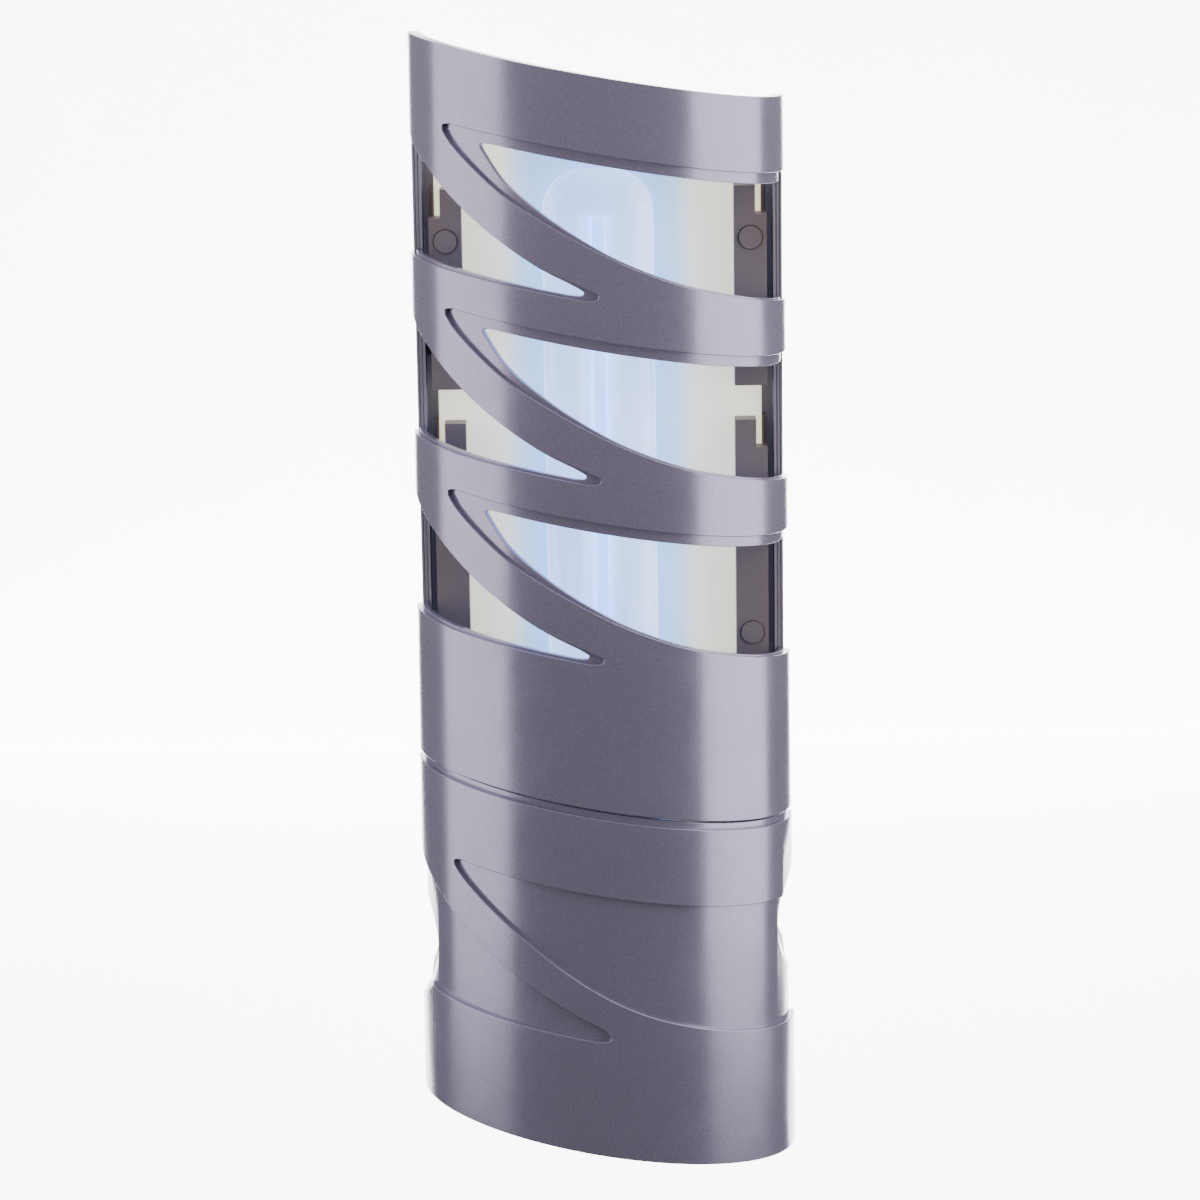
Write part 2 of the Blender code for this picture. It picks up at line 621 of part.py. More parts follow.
def clean(obj):
    """Merges the slivers that a chain of cuts leaves in flat faces, and triangulates afresh."""
    shape = bmesh.new()
    shape.from_mesh(obj.data)
    bmesh.ops.remove_doubles(shape, verts=shape.verts, dist=0.00001)
    bmesh.ops.dissolve_limit(shape, angle_limit=math.radians(0.2), verts=shape.verts,
                             edges=shape.edges)
    bmesh.ops.triangulate(shape, faces=shape.faces)
    shape.to_mesh(obj.data)
    shape.free()


def turned_out(obj):
    shape = bmesh.new()
    shape.from_mesh(obj.data)
    bmesh.ops.recalc_face_normals(shape, faces=shape.faces)
    shape.to_mesh(obj.data)
    shape.free()


def power_inlet():
    """A two-pin appliance inlet, open downwards."""
    left, right, front, back = INLET
    shell = box((left, front, HOUSING_BOTTOM - 0.0010), (right, back, HOUSING_BOTTOM + 0.016))
    middle_y = (front + back) / 2
    middle_x = (left + right) / 2
    for side in (-1, 1):
        x = middle_x + side * 0.0042
        cut(shell, rod((x, middle_y, HOUSING_BOTTOM + 0.002), 0.0046, 0.020, "Z", 32))
    part(shell, "power_inlet", "black_plastic")
    for side, name in ((-1, "left"), (1, "right")):
        pin = rod((middle_x + side * 0.0042, middle_y, HOUSING_BOTTOM + 0.0067), 0.0012, 0.0100,
                  "Z", 16)
        part(pin, f"inlet_pin_{name}", "steel", smooth=True)


def wire(name, route, finish):
    """A bevelled curve with filled caps on a smooth line through the route's points."""
    curve = bpy.data.curves.new(name, "CURVE")
    curve.dimensions = "3D"
    curve.bevel_depth = 0.0009
    curve.bevel_resolution = 2
    curve.use_fill_caps = True
    line = smooth_line(route, 5)
    spline = curve.splines.new("POLY")
    spline.points.add(len(line) - 1)
    for point, place_on_line in zip(spline.points, line):
        point.co = (*place_on_line, 1)
    made = mesh_from_curve(bpy.data.objects.new(name, curve))
    part(made, name, finish, smooth=True)


def wires(face):
    base = HOUSING_BOTTOM + 0.016 + 0.0016
    wire("wire_neutral", ((0.028, -0.0145, base), (0.030, -0.0165, -0.1515), (0.036, -0.021, -0.147),
                          (0.038, -0.020, -0.140), (0.038, face - 0.0012, -0.134)), "wire_blue")
    wire("wire_live", ((0.020, -0.0145, base), (0.012, -0.0175, -0.1525), (-0.008, -0.019, -0.1520),
                       (-0.024, -0.018, -0.1540), (-0.028, -0.0145, HOUSING_BOTTOM + 0.0150)),
         "wire_brown")
    for side, name in ((-1, "left"), (1, "right")):
        top = SHELF_TOP - SHELF_THICK - 0.0015
        wire(f"wire_lamp_{name}", ((side * 0.012, LAMP_Y, top), (side * 0.015, -0.031, -0.0935),
                                   (side * 0.019, -0.024, -0.0985),
                                   (side * 0.021, face - 0.0012, -0.1020)), "wire_blue")


# Assembly -------------------------------------------------------------------------------------
clear_scene()
PARTS = collection("insect_trap")
cover_carrier = mover("upper_cover_mover", (0, FRONT_EDGE_Y, TOP))
board_carrier = mover("catch_board_mover", (0, BOARD_Y, BOARD_TOP))
lamp_carrier = mover("lamp_mover", (0, LAMP_Y, LAMP_BASE_BOTTOM))
rocker_carrier = mover("switch_rocker_mover", ((SWITCH[0] + SWITCH[1]) / 2,
                                               (SWITCH[2] + SWITCH[3]) / 2,
                                               HOUSING_BOTTOM + 0.0016))
rear_housing()
upper_cover(cover_carrier)
lower_cover()
catch_board(board_carrier)
board_guides()
lamp(lamp_carrier)
lamp_holder()
board_face = circuit_board()
choke(board_face)
components(board_face)
main_switch(rocker_carrier)
power_inlet()
wires(board_face)
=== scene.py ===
"""The looks of the wall-hung insect trap: fine covers, a glowing lamp, materials, light, camera."""
import json
import math

import bmesh
import bpy
from mathutils import Matrix, Vector


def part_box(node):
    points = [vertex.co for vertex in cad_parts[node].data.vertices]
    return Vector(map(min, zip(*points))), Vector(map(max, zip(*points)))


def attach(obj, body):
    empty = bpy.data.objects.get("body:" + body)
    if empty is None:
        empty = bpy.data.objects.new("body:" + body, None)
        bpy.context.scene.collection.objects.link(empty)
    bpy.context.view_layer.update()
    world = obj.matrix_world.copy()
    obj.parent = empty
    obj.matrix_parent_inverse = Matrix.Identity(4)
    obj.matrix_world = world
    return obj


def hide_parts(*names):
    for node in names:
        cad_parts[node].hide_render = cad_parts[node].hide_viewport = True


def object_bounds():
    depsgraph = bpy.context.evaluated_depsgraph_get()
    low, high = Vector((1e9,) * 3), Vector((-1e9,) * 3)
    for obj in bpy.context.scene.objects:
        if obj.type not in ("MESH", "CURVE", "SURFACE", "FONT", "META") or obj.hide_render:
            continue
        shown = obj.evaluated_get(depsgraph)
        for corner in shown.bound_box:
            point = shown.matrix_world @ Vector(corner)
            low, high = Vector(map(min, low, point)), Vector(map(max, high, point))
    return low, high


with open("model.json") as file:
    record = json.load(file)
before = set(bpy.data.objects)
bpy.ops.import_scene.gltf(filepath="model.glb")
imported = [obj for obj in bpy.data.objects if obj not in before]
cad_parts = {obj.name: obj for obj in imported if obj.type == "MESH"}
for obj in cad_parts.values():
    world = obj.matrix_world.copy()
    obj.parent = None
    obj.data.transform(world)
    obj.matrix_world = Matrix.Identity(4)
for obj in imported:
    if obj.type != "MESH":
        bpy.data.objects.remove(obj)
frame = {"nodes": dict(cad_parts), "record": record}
cad_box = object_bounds()

# The front's driving dimensions, as the CAD model has them ------------------------------------
HALF_WIDTH = 0.0656
BOW = 0.0498
TOP = 0.190
FRONT_HEIGHT = 0.379
SLANT = 0.178
TAPER = 0.125
RELIEF = 0.0018
WALL = 0.0020
SEAM = 0.253
SEAM_GAP = 0.0008
SEAM_LIP = 0.0024
REAR_DEPTH = 0.022
ROWS = 3
ROW_PITCH = 0.0627
SCALLOP_RADIUS = 0.040
SCALLOP_DEPTH = 0.0062
SCALLOPS = ((-1, -0.122), (1, -0.116))
FRONT_EDGE_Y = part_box("rear_housing")[1][1] - REAR_DEPTH

SCALLOP_MIDDLE_Y = -0.03
SCALLOP_ROD = 0.12
LINER_REACH = 0.032          # half the height of the curved wall behind a scallop
GAP = 0.0003

# Finer than the CAD model
STRIPS = 120
EDGE_ROUND = 0.0005
BAND_ROUND = 0.0008
CORNER = 0.0030
CURVE_STEPS = 9

# Outlines of one row of windows: (degrees round the bow, millimetres below the top edge).
RIGHT_OPENING_LOW = ((-38.5, 31.6), (-30, 41.1), (-18, 48.9), (-5, 55.6), (8, 60.9), (25, 65.2),
                     (44, 67.4), (70, 69.2), (96, 70.6))
RIGHT_RECESS_LOW = ((-54, 28.6), (-50, 32.4), (-40, 39.0), (-29, 45.7), (-17, 51.4), (-5, 56.6),
                    (8, 61.4), (25, 65.7), (44, 67.9), (70, 69.7), (96, 71.1))
LEFT_OPENING_HIGH = ((-96, 30.4), (-80, 36.2), (-65, 42.6), (-50, 51.0), (-35, 59.5), (-20, 67.2),
                     (-8, 71.4), (-4.5, 73.0))
LEFT_RECESS_HIGH = ((-96, 29.9), (-80, 35.7), (-65, 42.1), (-50, 50.5), (-35, 59.0), (-20, 66.5),
                    (-7, 70.6), (0, 73.0))
RIGHT_OPENING_TOP = 29.6
RIGHT_RECESS_TOP = 25.8
LEFT_OPENING_BOTTOM = 75.0
LEFT_RECESS_BOTTOM = 75.7
LOW_RIGHT_TOP = 283.5
LOW_RIGHT = ((-54, 286.4), (-50, 289.8), (-41, 295.6), (-29, 303.2), (-16, 311.8), (-3, 319.2),
             (11, 324.7), (27, 327.9), (46, 329.7), (70, 330.6), (96, 331.0))
LOW_LEFT_BOTTOM = 337.0
LOW_LEFT = ((-96, 284.0), (-80, 291.0), (-66, 297.6), (-52, 305.8), (-38, 314.0), (-24, 321.8),
            (-10, 328.6), (-2, 332.0), (0.5, 334.6))

LAMP_STRENGTH = 2.4
ARCH_SHARE = 0.85            # the lamp's arch: its height as a share of the tubes' half spacing
ARCH_SQUARE = 0.6            # 1 would be a half ellipse, and less is squarer
PAINTED_LAMP_LIGHT = 1.25            # painted light: the board's emission stands in for the lamp's light falling on it
PAINTED_LIGHT_FROM, PAINTED_LIGHT_TO = 0.020, 0.033        # distance from the centre line where the painted blue lamp light turns cream

# Camera: its distance, height angle and roll, and the point it looks at
CAMERA_DISTANCE = 1.4086
CAMERA_HEIGHT_ANGLE = 12.72
CAMERA_ROLL = -0.86
CAMERA_LENS = 120
CAMERA_TARGET = Vector((0, -0.022, 0.0192))
CAMERA_AIM_OFFSET = (-0.0011, -0.0181)

# Stage
FLOOR_DROP = 0.30            # below the unit's lowest point
ROOM_LOW, ROOM_HIGH = -0.40, 0.0       # the studio is darker near the ground
ROOM_DARK, ROOM_LIGHT = 0.05, 0.50
BACKDROP_DISTANCE = 1.6
STAGE_WIDTH = 1.3            # narrow, so that it shows little in the glossy sides
FLOOR_FRONT = 0.55           # the floor starts behind the unit, so that it lights no underside
PAPER_GLOW = 8.0
FLOOR_GLOW = 8.0


# Materials ------------------------------------------------------------------------------------
def linear(r, g, b):
    """An sRGB colour from 0 to 255 as linear values."""
    values = [c / 255 for c in (r, g, b)]
    return tuple(c / 12.92 if c <= 0.04045 else ((c + 0.055) / 1.055) ** 2.4 for c in values)


class Nodes:
    """A short way to write a material's nodes."""

    def __init__(self, name):
        self.material = bpy.data.materials.new(name)
        self.material.use_nodes = True
        self.tree = self.material.node_tree
        self.shader = self.tree.nodes["Principled BSDF"]
        self.coordinates = self.tree.nodes.new("ShaderNodeTexCoord").outputs["Object"]

    def link(self, source, target):
        self.tree.links.new(source, target)

    def noise(self, scale, detail=4, stretch=(1, 1, 1)):
        mapping = self.tree.nodes.new("ShaderNodeMapping")
        mapping.inputs["Scale"].default_value = stretch
        self.link(self.coordinates, mapping.inputs["Vector"])
        made = self.tree.nodes.new("ShaderNodeTexNoise")
        made.inputs["Scale"].default_value = scale
        made.inputs["Detail"].default_value = detail
        self.link(mapping.outputs["Vector"], made.inputs["Vector"])
        return made.outputs["Fac"]

    def spread(self, source, low, high, start=0.35, end=0.65):
        made = self.tree.nodes.new("ShaderNodeMapRange")
        made.inputs["From Min"].default_value = start
        made.inputs["From Max"].default_value = end
        made.inputs["To Min"].default_value = low
        made.inputs["To Max"].default_value = high
        self.link(source, made.inputs["Value"])
        return made.outputs["Result"]

    def ramp(self, source, *stops):
        made = self.tree.nodes.new("ShaderNodeValToRGB")
        elements = made.color_ramp.elements
        while len(elements) < len(stops):
            elements.new(0.5)
        for element, (position, colour) in zip(elements, stops):
            element.position = position
            element.color = (*colour, 1)
        self.link(source, made.inputs["Fac"])
        return made.outputs["Color"]

    def bump(self, height, strength, distance, under=None):
        made = self.tree.nodes.new("ShaderNodeBump")
        made.inputs["Strength"].default_value = strength
        made.inputs["Distance"].default_value = distance
        self.link(height, made.inputs["Height"])
        if under is not None:
            self.link(under, made.inputs["Normal"])
        return made.outputs["Normal"]

    def set(self, **values):
        for name, value in values.items():
            self.shader.inputs[name.replace("_", " ")].default_value = value


def moulded(name, colour, roughness, shade=0.92, metallic=0.0, coat=0.0, grain=900, depth=0.00002):
    """Moulded plastic: slow colour drift, uneven gloss, fine grain and a faint flow ripple."""
    nodes = Nodes(name)
    darker = tuple(c * shade for c in colour)
    drift = nodes.ramp(nodes.noise(18, 3), (0.3, darker), (0.7, colour))
    nodes.link(drift, nodes.shader.inputs["Base Color"])
    gloss = nodes.spread(nodes.noise(70, 5), roughness * 0.85, roughness * 1.2)
    nodes.link(gloss, nodes.shader.inputs["Roughness"])
    ripple = nodes.bump(nodes.noise(45, 2), 0.10, 0.0002)
    fine = nodes.bump(nodes.noise(grain, 2), 0.25, depth, ripple)
    nodes.link(fine, nodes.shader.inputs["Normal"])
    nodes.set(Metallic=metallic, Coat_Weight=coat, Coat_Roughness=0.08)
    return nodes.material


def shell_material():
    """Glossy lavender-grey plastic with fine metal flakes under a clear surface."""
    nodes = Nodes("lavender_shell")
    flakes = nodes.noise(3200, 1)
    low, mid, high = linear(128, 120, 143), linear(138, 130, 154), linear(150, 142, 167)
    colour = nodes.ramp(flakes, (0.30, low), (0.5, mid), (0.72, high))
    nodes.link(colour, nodes.shader.inputs["Base Color"])
    gloss = nodes.spread(nodes.noise(60, 5), 0.20, 0.25)
    nodes.link(gloss, nodes.shader.inputs["Roughness"])
    ripple = nodes.bump(nodes.noise(14, 1, (1, 1, 0.3)), 0.05, 0.0003)
    fine = nodes.bump(nodes.noise(2400, 1), 0.10, 0.00001, ripple)
    nodes.link(fine, nodes.shader.inputs["Normal"])
    nodes.set(Metallic=0.6, Coat_Weight=0.25, Coat_Roughness=0.12)
    return nodes.material


def board_material():
    """Pale coated board with paper fibre and a faint sticky sheen; its emission is painted light, the
    lamp's light shown as blue near the centre line and cream further out.
    """
    nodes = Nodes("catch_board_paper")
    fibre = nodes.noise(240, 6, (1, 1, 0.25))
    colour = nodes.ramp(fibre, (0.3, linear(226, 228, 214)), (0.7, linear(236, 237, 226)))
    nodes.link(colour, nodes.shader.inputs["Base Color"])
    gloss = nodes.spread(nodes.noise(35, 4), 0.35, 0.6)
    nodes.link(gloss, nodes.shader.inputs["Roughness"])
    nodes.link(nodes.bump(fibre, 0.2, 0.0001), nodes.shader.inputs["Normal"])
    split = nodes.tree.nodes.new("ShaderNodeSeparateXYZ")
    nodes.link(nodes.coordinates, split.inputs["Vector"])
    across = nodes.tree.nodes.new("ShaderNodeMath")
    across.operation = "ABSOLUTE"
    nodes.link(split.outputs["X"], across.inputs[0])
    # painted light: emission, blue beside the lamp and cream further out, stands in for the lamp
    # lighting the board
    near = nodes.spread(across.outputs["Value"], 0, 1, PAINTED_LIGHT_FROM, PAINTED_LIGHT_TO)
    glow = nodes.ramp(near, (0.0, linear(60, 150, 252)), (0.5, linear(130, 194, 246)),
                      (1.0, linear(238, 232, 196)))
    nodes.link(glow, nodes.shader.inputs["Emission Color"])
    nodes.set(Emission_Strength=PAINTED_LAMP_LIGHT)
    return nodes.material


def lamp_material():
    """Frosted tube glass lit from within, a little uneven as phosphor coatings are."""
    nodes = Nodes("lamp_glow")
    clouds = nodes.noise(60, 3, (1, 1, 0.25))
    colour = nodes.ramp(clouds, (0.3, linear(150, 180, 250)), (0.7, linear(176, 202, 252)))
    nodes.link(colour, nodes.shader.inputs["Base Color"])
    nodes.link(colour, nodes.shader.inputs["Emission Color"])
    nodes.link(nodes.spread(clouds, 0.16, 0.28), nodes.shader.inputs["Roughness"])
    nodes.set(Emission_Strength=LAMP_STRENGTH, Coat_Weight=0.3)
    return nodes.material


def metal(name, colour, roughness):
    nodes = Nodes(name)
    brushed = nodes.noise(700, 3, (1, 1, 0.08))
    darker = tuple(c * 0.85 for c in colour)
    nodes.link(nodes.ramp(brushed, (0.3, darker), (0.7, colour)), nodes.shader.inputs["Base Color"])
    gloss = nodes.spread(brushed, roughness * 0.8, roughness * 1.3)
    nodes.link(gloss, nodes.shader.inputs["Roughness"])
    nodes.set(Metallic=1.0)
    return nodes.material


def make_materials():
    return {
        "shell": shell_material(),
        "rear": moulded("rear_plastic", linear(150, 143, 156), 0.42),
        "guide": moulded("guide_plastic", linear(116, 104, 104), 0.5),
        "board": board_material(),
        "lamp_glass": lamp_material(),
        "white_plastic": moulded("white_plastic", linear(226, 226, 220), 0.4),
        "black_plastic": moulded("black_plastic", linear(34, 34, 37), 0.42),
        "brass": metal("brass_pins", linear(214, 180, 104), 0.3),
        "steel": metal("plated_steel", linear(190, 190, 188), 0.32),
        "circuit": moulded("circuit_green", linear(38, 98, 62), 0.35, 0.8, coat=0.4),
        "copper": moulded("varnished_copper", linear(176, 96, 52), 0.3, 0.75, metallic=0.7),
        "ferrite": moulded("ferrite_grey", linear(62, 62, 64), 0.55),
        "fuse_glass": moulded("fuse_glass", linear(214, 222, 222), 0.08, coat=0.5),
        "wire_blue": moulded("blue_insulation", linear(38, 84, 168), 0.45),
        "wire_brown": moulded("brown_insulation", linear(112, 72, 44), 0.45),
    }


def dress_nodes(materials):
    """Each CAD node takes the material of its slot."""
    for entry in frame["record"]["subparts"]:
        node = frame["nodes"][entry["node"]]
        node.data.materials.clear()
        node.data.materials.append(materials[entry["material_slot"]])
        node.data.shade_smooth()
        node.data.set_sharp_from_angle(angle=math.radians(32))


# Fine covers ----------------------------------------------------------------------------------
def smooth_line(points, steps=CURVE_STEPS):
    """A Catmull-Rom curve through the points."""
    ends = [points[0], *points, points[-1]]
    line = []
    for a, b, c, d in zip(ends, ends[1:], ends[2:], ends[3:]):
        for step in range(steps):
            t = step / steps
            line.append(tuple(
                0.5 * (2 * q + (r - p) * t + (2 * p - 5 * q + 4 * r - s) * t ** 2
                       + (3 * q - p - 3 * r + s) * t ** 3)
                for p, q, r, s in zip(a, b, c, d)))
    line.append(points[-1])
    return line


def flat(points, drop):
    """Degrees and millimetres down become metres round the bow and metres up."""
    return [(HALF_WIDTH * math.radians(angle), -(down / 1000 + drop)) for angle, down in points]


def right_shape(low_edge, top, drop=0.0):
    edge = smooth_line(low_edge)
    tip_angle, tip_height = low_edge[0]
    nose = smooth_line(((tip_angle, tip_height), (tip_angle + 0.4, (tip_height + top) / 2 - 0.4),
                        (tip_angle + 4, top)), 5)[1:]
    return flat([*reversed(edge), *nose, (96, top)], drop)


def left_shape(high_edge, bottom, drop=0.0):
    edge = smooth_line(high_edge)
    tip_angle, tip_height = high_edge[-1]
    nose = smooth_line(((tip_angle, tip_height), (tip_angle - 0.6, (tip_height + bottom) / 2 + 0.4),
                        (tip_angle - 4, bottom)), 5)[1:]
    return flat([*edge, *nose, (-96, bottom)], drop)


def sheet_outline(top, bottom, top_corner, bottom_corner):
    """A rectangle round the whole bow with rounded corners."""
    side = HALF_WIDTH * math.pi / 2
    corners = ((side, -top, top_corner, 0), (-side, -top, top_corner, 90),
               (-side, -bottom, bottom_corner, 180), (side, -bottom, bottom_corner, 270))
    outline = []
    for x, y, radius, start in corners:
        centre_x = x - math.copysign(radius, x)
        centre_y = y - radius if start < 180 else y + radius
        for step in range(7):
            angle = math.radians(start + step * 15)
            outline.append((centre_x + radius * math.cos(angle), centre_y + radius * math.sin(angle)))
    return outline


def from_curve(curve_object):
    """The evaluated mesh of a curve, with its caps welded on."""
    bpy.context.scene.collection.objects.link(curve_object)
    bpy.context.view_layer.update()
    graph = bpy.context.evaluated_depsgraph_get()
    mesh = bpy.data.meshes.new_from_object(curve_object.evaluated_get(graph))
    mesh.transform(curve_object.matrix_basis)
    bpy.data.objects.remove(curve_object, do_unlink=True)
    made = bpy.data.objects.new("solid", mesh)
    bpy.context.scene.collection.objects.link(made)
    clean(made)
    return made


def clean(obj):
    """Welds, and dissolves flat triangles into whole faces."""
    shape = bmesh.new()
    shape.from_mesh(obj.data)
    bmesh.ops.remove_doubles(shape, verts=shape.verts, dist=0.000008)
    bmesh.ops.dissolve_limit(shape, angle_limit=math.radians(0.5), verts=shape.verts,
                             edges=shape.edges)
    bmesh.ops.recalc_face_normals(shape, faces=shape.faces)
    shape.to_mesh(obj.data)
    shape.free()


def plate(outline, low, high):
    curve = bpy.data.curves.new("outline", "CURVE")
    curve.dimensions = "2D"
    curve.fill_mode = "BOTH"
    curve.extrude = (high - low) / 2
    spline = curve.splines.new("POLY")
    spline.points.add(len(outline) - 1)
    for point, (x, y) in zip(spline.points, outline):
        point.co = (x, y, 0, 1)
    spline.use_cyclic_u = True
    made = bpy.data.objects.new("outline", curve)
    made.location.z = (low + high) / 2
    return from_curve(made)


def rod(centre, radius, length, axis="Z", sides=24):
    turn = {"X": (0, math.pi / 2, 0), "Y": (math.pi / 2, 0, 0), "Z": (0, 0, 0)}[axis]
    bpy.ops.mesh.primitive_cylinder_add(radius=radius, depth=length, vertices=sides,
                                        location=centre, rotation=turn)
    made = bpy.context.object
    bpy.ops.object.transform_apply(location=True, rotation=True, scale=True)
    return made


def settle(obj):
    """Applies an object's modifiers."""
    graph = bpy.context.evaluated_depsgraph_get()
    mesh = bpy.data.meshes.new_from_object(obj.evaluated_get(graph))
    obj.modifiers.clear()
    obj.data = mesh


def boolean(obj, other, operation):
    change = obj.modifiers.new("change", "BOOLEAN")
    change.operation = operation
    change.object = other
    settle(obj)
    bpy.data.objects.remove(other, do_unlink=True)
    return obj


def round_edges(obj, width, segments=3):
    bevel = obj.modifiers.new("round", "BEVEL")
    bevel.width = width
    bevel.segments = segments
    bevel.limit_method = "ANGLE"
    bevel.angle_limit = math.radians(50)
    settle(obj)


def cut_layer(outline, low, high, holes, edge):
    """One flat layer with its holes cut and its edges rounded."""
    layer = plate(outline, low, high)
    for hole in holes:
        boolean(layer, plate(hole, low - 0.004, high + 0.004), "DIFFERENCE")
    clean(layer)
    round_edges(layer, edge)
    return layer


def on_bow(along, height, lift):
    """The place of a point of the flat sheet: along the bow, height below the top, lift."""
    angle = max(-math.pi / 2, min(math.pi / 2, along / HALF_WIDTH))
    z = TOP + height - SLANT * HALF_WIDTH * math.sin(angle)
    scale = 1 - TAPER * z
    normal = Vector((BOW * math.sin(angle), -HALF_WIDTH * math.cos(angle), 0)).normalized()
    point = Vector((HALF_WIDTH * scale * math.sin(angle),
                    FRONT_EDGE_Y - BOW * scale * math.cos(angle), z))
    return point + normal * lift


def bend(obj):
    shape = bmesh.new()
    shape.from_mesh(obj.data)
    for strip in range(1, STRIPS):
        along = HALF_WIDTH * math.pi * (strip / STRIPS - 0.5)
        geometry = shape.verts[:] + shape.edges[:] + shape.faces[:]
        bmesh.ops.bisect_plane(shape, geom=geometry, dist=0.000004,
                               plane_co=(along, 0, 0), plane_no=(1, 0, 0))
    bmesh.ops.triangulate(shape, faces=[f for f in shape.faces if len(f.verts) > 4])
    for vertex in shape.verts:
        vertex.co = on_bow(*vertex.co)
    shape.to_mesh(obj.data)
    shape.free()
    return obj


def finish_cover(obj, name, material):
    obj.name = name
    obj.data.name = name
    obj.data.materials.clear()
    obj.data.materials.append(material)
    obj.data.shade_smooth()
    obj.data.set_sharp_from_angle(angle=math.radians(38))
    weigh = obj.modifiers.new("even shading", "WEIGHTED_NORMAL")
    weigh.keep_sharp = True
    weigh.weight = 100


def upper_cover(material):
    """The louvred cover: a base layer with openings under a raised layer with recesses."""
    recesses = []
    openings = []
    for row in range(ROWS):
        drop = row * ROW_PITCH
        recesses += [right_shape(RIGHT_RECESS_LOW, RIGHT_RECESS_TOP, drop),
                     left_shape(LEFT_RECESS_HIGH, LEFT_RECESS_BOTTOM, drop)]
        openings += [right_shape(RIGHT_OPENING_LOW, RIGHT_OPENING_TOP, drop),
                     left_shape(LEFT_OPENING_HIGH, LEFT_OPENING_BOTTOM, drop)]
    bottom = SEAM - SEAM_GAP / 2
    outline = sheet_outline(0, bottom, CORNER, EDGE_ROUND)
    base = cut_layer(outline, -RELIEF - WALL, -RELIEF, openings, EDGE_ROUND)
    raised = cut_layer(outline, -RELIEF - WALL * 0.6, 0, recesses, BAND_ROUND)
    cover = bend(boolean(base, raised, "UNION"))
    finish_cover(cover, "louvred_cover", material)
    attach(cover, "upper_cover")
    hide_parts("upper_cover")


def half_ellipse(margin, z, steps=40):
    wide = HALF_WIDTH * (1 - TAPER * z) - margin
    deep = BOW * (1 - TAPER * z) - margin
    angles = [math.pi * (step / steps - 0.5) for step in range(steps + 1)]
    return [(wide * math.sin(a), FRONT_EDGE_Y - GAP - deep * math.cos(a)) for a in angles]


def scallop_rod(side, height, radius):
    """A rod along Y, whose near side reaches a scallop's depth into the front."""
    reach = HALF_WIDTH * (1 - TAPER * height) - SCALLOP_DEPTH + SCALLOP_RADIUS
    return rod((side * reach, SCALLOP_MIDDLE_Y, height), radius, SCALLOP_ROD, "Y", 128)


def merge_close_points(obj):
    """Joins points that lie almost together, which would tear later cuts."""
    shape = bmesh.new()
    shape.from_mesh(obj.data)
    bmesh.ops.remove_doubles(shape, verts=shape.verts, dist=0.00002)
    bmesh.ops.dissolve_degenerate(shape, dist=0.00001, edges=shape.edges)
    bmesh.ops.triangulate(shape, faces=shape.faces)
    shape.to_mesh(obj.data)
    shape.free()


def lower_cover(material):
    """The closed lower cover: the same swooshes in relief, and a scallop at each side."""
    recesses = [right_shape(LOW_RIGHT, LOW_RIGHT_TOP), left_shape(LOW_LEFT, LOW_LEFT_BOTTOM)]
    top = SEAM + SEAM_GAP / 2
    outline = sheet_outline(top, FRONT_HEIGHT, EDGE_ROUND, CORNER)
    base = cut_layer(outline, -RELIEF - WALL, -RELIEF, [], EDGE_ROUND)
    upper_outline = sheet_outline(top + SEAM_LIP, FRONT_HEIGHT, EDGE_ROUND, CORNER)
    raised = cut_layer(upper_outline, -RELIEF - WALL * 0.6, 0, recesses, BAND_ROUND)
    cover = bend(boolean(base, raised, "UNION"))
    merge_close_points(cover)
    for side, height in SCALLOPS:
        liner = plate(half_ellipse(RELIEF + WALL / 2, height), height - LINER_REACH,
                      height + LINER_REACH)
        boolean(liner, scallop_rod(side, height, SCALLOP_RADIUS + WALL), "INTERSECT")
        boolean(cover, liner, "UNION")
    for side, height in SCALLOPS:
        boolean(cover, scallop_rod(side, height, SCALLOP_RADIUS), "DIFFERENCE")
    finish_cover(cover, "relief_cover", material)
    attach(cover, "housing")
    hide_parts("lower_cover")


# Lamp -----------------------------------------------------------------------------------------
def lamp_tubes(material):
    """Two tubes bent from one: up, over in a squarish arch, and down."""
    low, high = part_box("lamp_tubes")
    radius = (high[1] - low[1]) / 2
    middle_y = (high[1] + low[1]) / 2
    half = (high[0] - low[0]) / 2 - radius
    arch = half * ARCH_SHARE
    curve = bpy.data.curves.new("lamp_tube", "CURVE")
    curve.dimensions = "3D"
    curve.bevel_depth = radius
    curve.bevel_resolution = 10
    curve.use_fill_caps = True
    shoulder = high[2] - radius - arch
    route = [(-half, low[2])]
    route += [(-half, low[2] + (shoulder - low[2]) * step / 12) for step in range(1, 12)]
    for step in range(33):
        angle = math.pi * (1 - step / 32)
        across = math.copysign(abs(math.cos(angle)) ** ARCH_SQUARE, math.cos(angle))
        route.append((half * across, shoulder + arch * abs(math.sin(angle)) ** ARCH_SQUARE))
    route += [(half, low[2] + (shoulder - low[2]) * step / 12) for step in range(11, -1, -1)]
    spline = curve.splines.new("POLY")
    spline.points.add(len(route) - 1)
    for point, (x, z) in zip(spline.points, route):
        point.co = (x, middle_y, z, 1)
    tube = from_curve(bpy.data.objects.new("lamp_tube", curve))
    tube.name = "glowing_tubes"
    tube.data.materials.append(material)
    tube.data.shade_smooth()
    tube.data.set_sharp_from_angle(angle=math.radians(40))
    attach(tube, "lamp")
    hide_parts("lamp_tubes")


# Stage, light and camera ----------------------------------------------------------------------
def pale_paper(name, glow):
    """White studio paper; a little light comes through it."""
    nodes = Nodes(name)
    colour = nodes.ramp(nodes.noise(3, 3), (0.3, (0.86, 0.86, 0.86)), (0.7, (0.90, 0.90, 0.90)))
    nodes.link(colour, nodes.shader.inputs["Base Color"])
    nodes.link(colour, nodes.shader.inputs["Emission Color"])
    nodes.set(Roughness=0.8, Emission_Strength=glow)
    return nodes.material


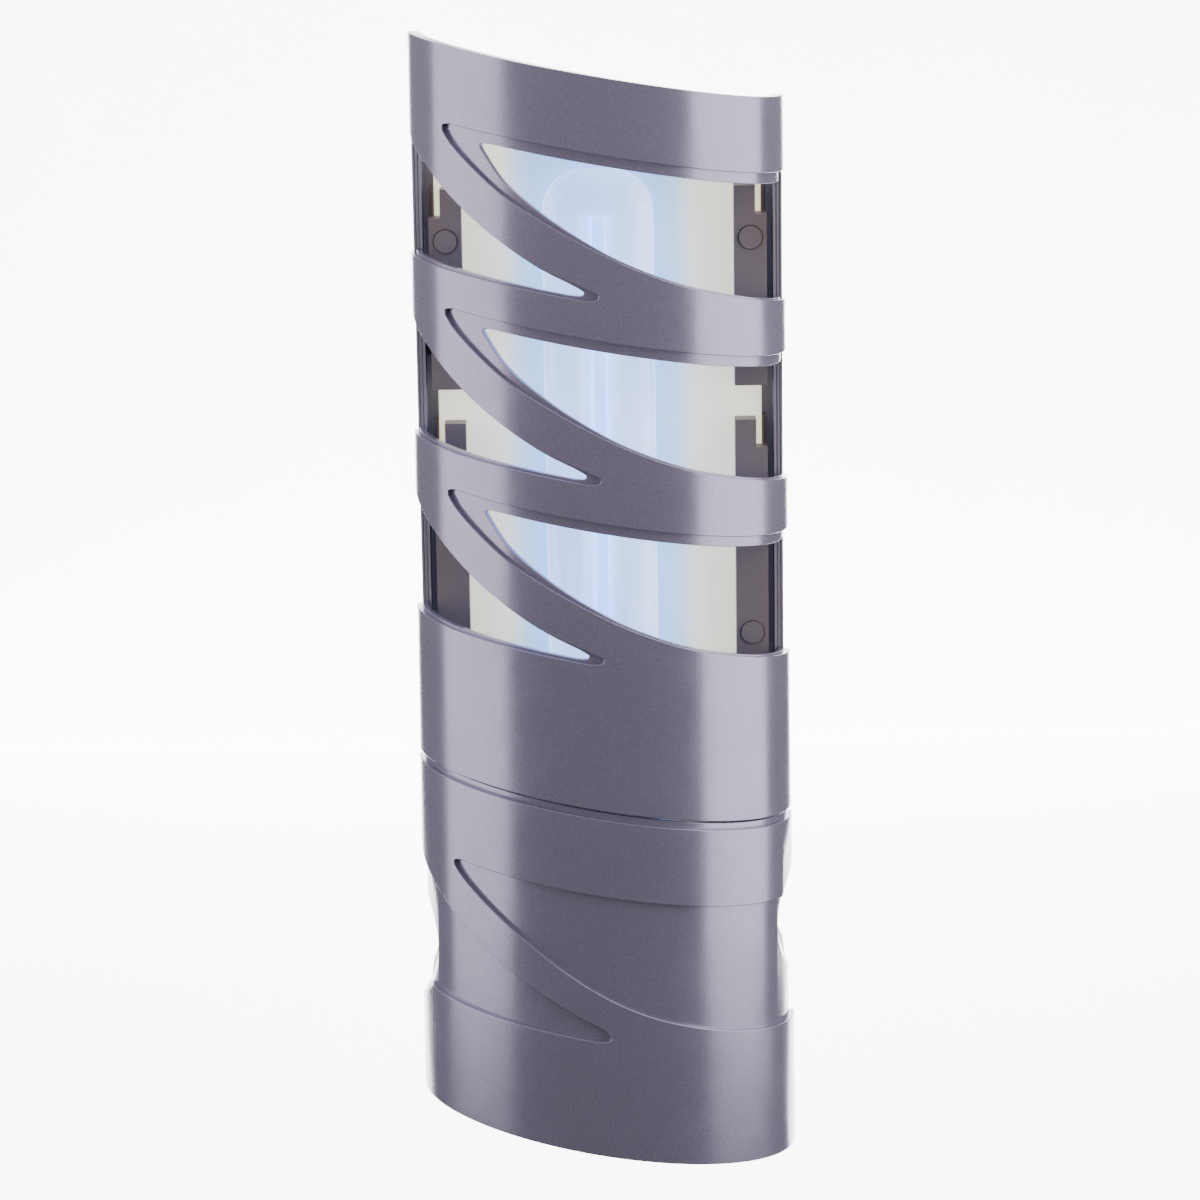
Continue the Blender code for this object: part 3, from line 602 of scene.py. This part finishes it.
def stage():
    """A pale floor well below the hanging unit, and a pale backdrop behind it."""
    floor_height = cad_box[0][2] - FLOOR_DROP
    bpy.ops.mesh.primitive_plane_add(size=1, location=(0, (FLOOR_FRONT + BACKDROP_DISTANCE) / 2,
                                                       floor_height))
    floor = bpy.context.object
    floor.scale = (STAGE_WIDTH, BACKDROP_DISTANCE - FLOOR_FRONT, 1)
    floor.name = "floor"
    floor.data.materials.append(pale_paper("pale_floor", FLOOR_GLOW))
    bpy.ops.mesh.primitive_plane_add(size=STAGE_WIDTH, location=(0, BACKDROP_DISTANCE, 0),
                                     rotation=(math.pi / 2, 0, 0))
    backdrop = bpy.context.object
    backdrop.name = "backdrop"
    backdrop.data.materials.append(pale_paper("pale_backdrop", PAPER_GLOW))


def softbox(name, azimuth, elevation, distance, width, height, power):
    """An area light that faces the object from an azimuth, 0 in front and 90 at the right."""
    around, up = math.radians(azimuth), math.radians(elevation)
    place = Vector((math.sin(around) * math.cos(up), -math.cos(around) * math.cos(up),
                    math.sin(up))) * distance
    light = bpy.data.lights.new(name, "AREA")
    light.shape = "RECTANGLE"
    light.size = width
    light.size_y = height
    light.energy = power
    made = bpy.data.objects.new(name, light)
    made.location = place
    made.rotation_euler = (-place).to_track_quat("-Z", "Y").to_euler()
    bpy.context.scene.collection.objects.link(made)


def lights():
    softbox("left_softbox", -74, 14, 1.3, 1.40, 2.0, 26)
    softbox("right_softbox", 76, 14, 1.3, 1.45, 2.0, 36)
    softbox("top_light", 0, 78, 1.6, 1.4, 1.4, 5)
    softbox("back_light", 180, 40, 1.8, 2.0, 1.2, 5)
    world = bpy.data.worlds.new("studio")
    world.use_nodes = True
    tree = world.node_tree
    split = tree.nodes.new("ShaderNodeSeparateXYZ")
    tree.links.new(tree.nodes.new("ShaderNodeTexCoord").outputs["Generated"], split.inputs["Vector"])
    rise = tree.nodes.new("ShaderNodeMapRange")
    rise.inputs["From Min"].default_value = ROOM_LOW
    rise.inputs["From Max"].default_value = ROOM_HIGH
    rise.inputs["To Min"].default_value = ROOM_DARK
    rise.inputs["To Max"].default_value = ROOM_LIGHT
    tree.links.new(split.outputs["Z"], rise.inputs["Value"])
    background = tree.nodes["Background"]
    background.inputs["Color"].default_value = (0.97, 0.96, 1.0, 1)
    tree.links.new(rise.outputs["Result"], background.inputs["Strength"])
    bpy.context.scene.world = world


def camera():
    up = math.radians(CAMERA_HEIGHT_ANGLE)
    place = CAMERA_TARGET + Vector((0, -math.cos(up), math.sin(up))) * CAMERA_DISTANCE
    right, above = Vector((1, 0, 0)), Vector((0, math.sin(up), math.cos(up)))
    aim = CAMERA_TARGET + right * CAMERA_AIM_OFFSET[0] + above * CAMERA_AIM_OFFSET[1]
    data = bpy.data.cameras.new("camera")
    data.lens = CAMERA_LENS
    data.sensor_width = 36
    made = bpy.data.objects.new("camera", data)
    turn = (aim - place).to_track_quat("-Z", "Y").to_matrix().to_4x4()
    roll = Matrix.Rotation(math.radians(CAMERA_ROLL), 4, "Z")
    made.matrix_world = Matrix.Translation(place) @ turn @ roll
    bpy.context.scene.collection.objects.link(made)
    bpy.context.scene.camera = made


materials = make_materials()
dress_nodes(materials)
upper_cover(materials["shell"])
lower_cover(materials["shell"])
lamp_tubes(materials["lamp_glass"])
stage()
lights()
camera()
